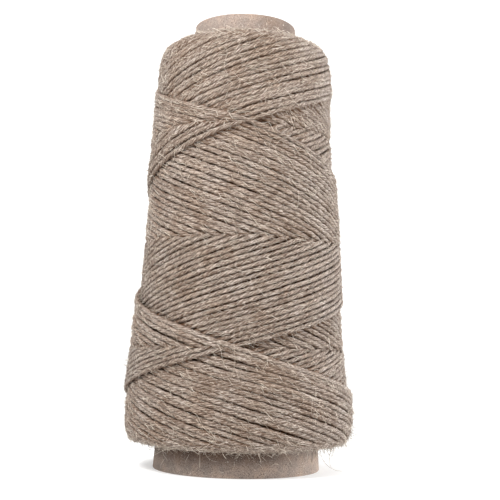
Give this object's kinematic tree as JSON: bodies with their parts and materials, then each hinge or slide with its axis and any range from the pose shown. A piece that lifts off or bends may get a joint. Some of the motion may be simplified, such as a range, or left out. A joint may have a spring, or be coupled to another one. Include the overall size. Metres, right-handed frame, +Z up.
{
  "type": "spool of linen cord on a cardboard cone",
  "caption": "Tapered package of natural linen cord, cross-wound on a hollow cardboard cone that shows at both ends; stands on its lower rim or goes on a spindle.",
  "frame": {"origin": "centre of the cardboard cone's lower rim, on the surface that the spool stands on", "axes": "+Z up along the cone's axis, towards its narrow end; -Y is the side where the newest runs of cord cross"},
  "size_m": [0.0865, 0.0856, 0.17],
  "materials": {
    "cord": "natural unbleached linen, spun and loosely twisted, dry and fuzzy with pale stray fibres",
    "cardboard": "matt recycled paper, greyish pink-brown, with fine dark and pale specks"
  },
  "bodies": {
    "root": {"core": "cardboard", "winding": "cord"}
  },
  "joints": []
}
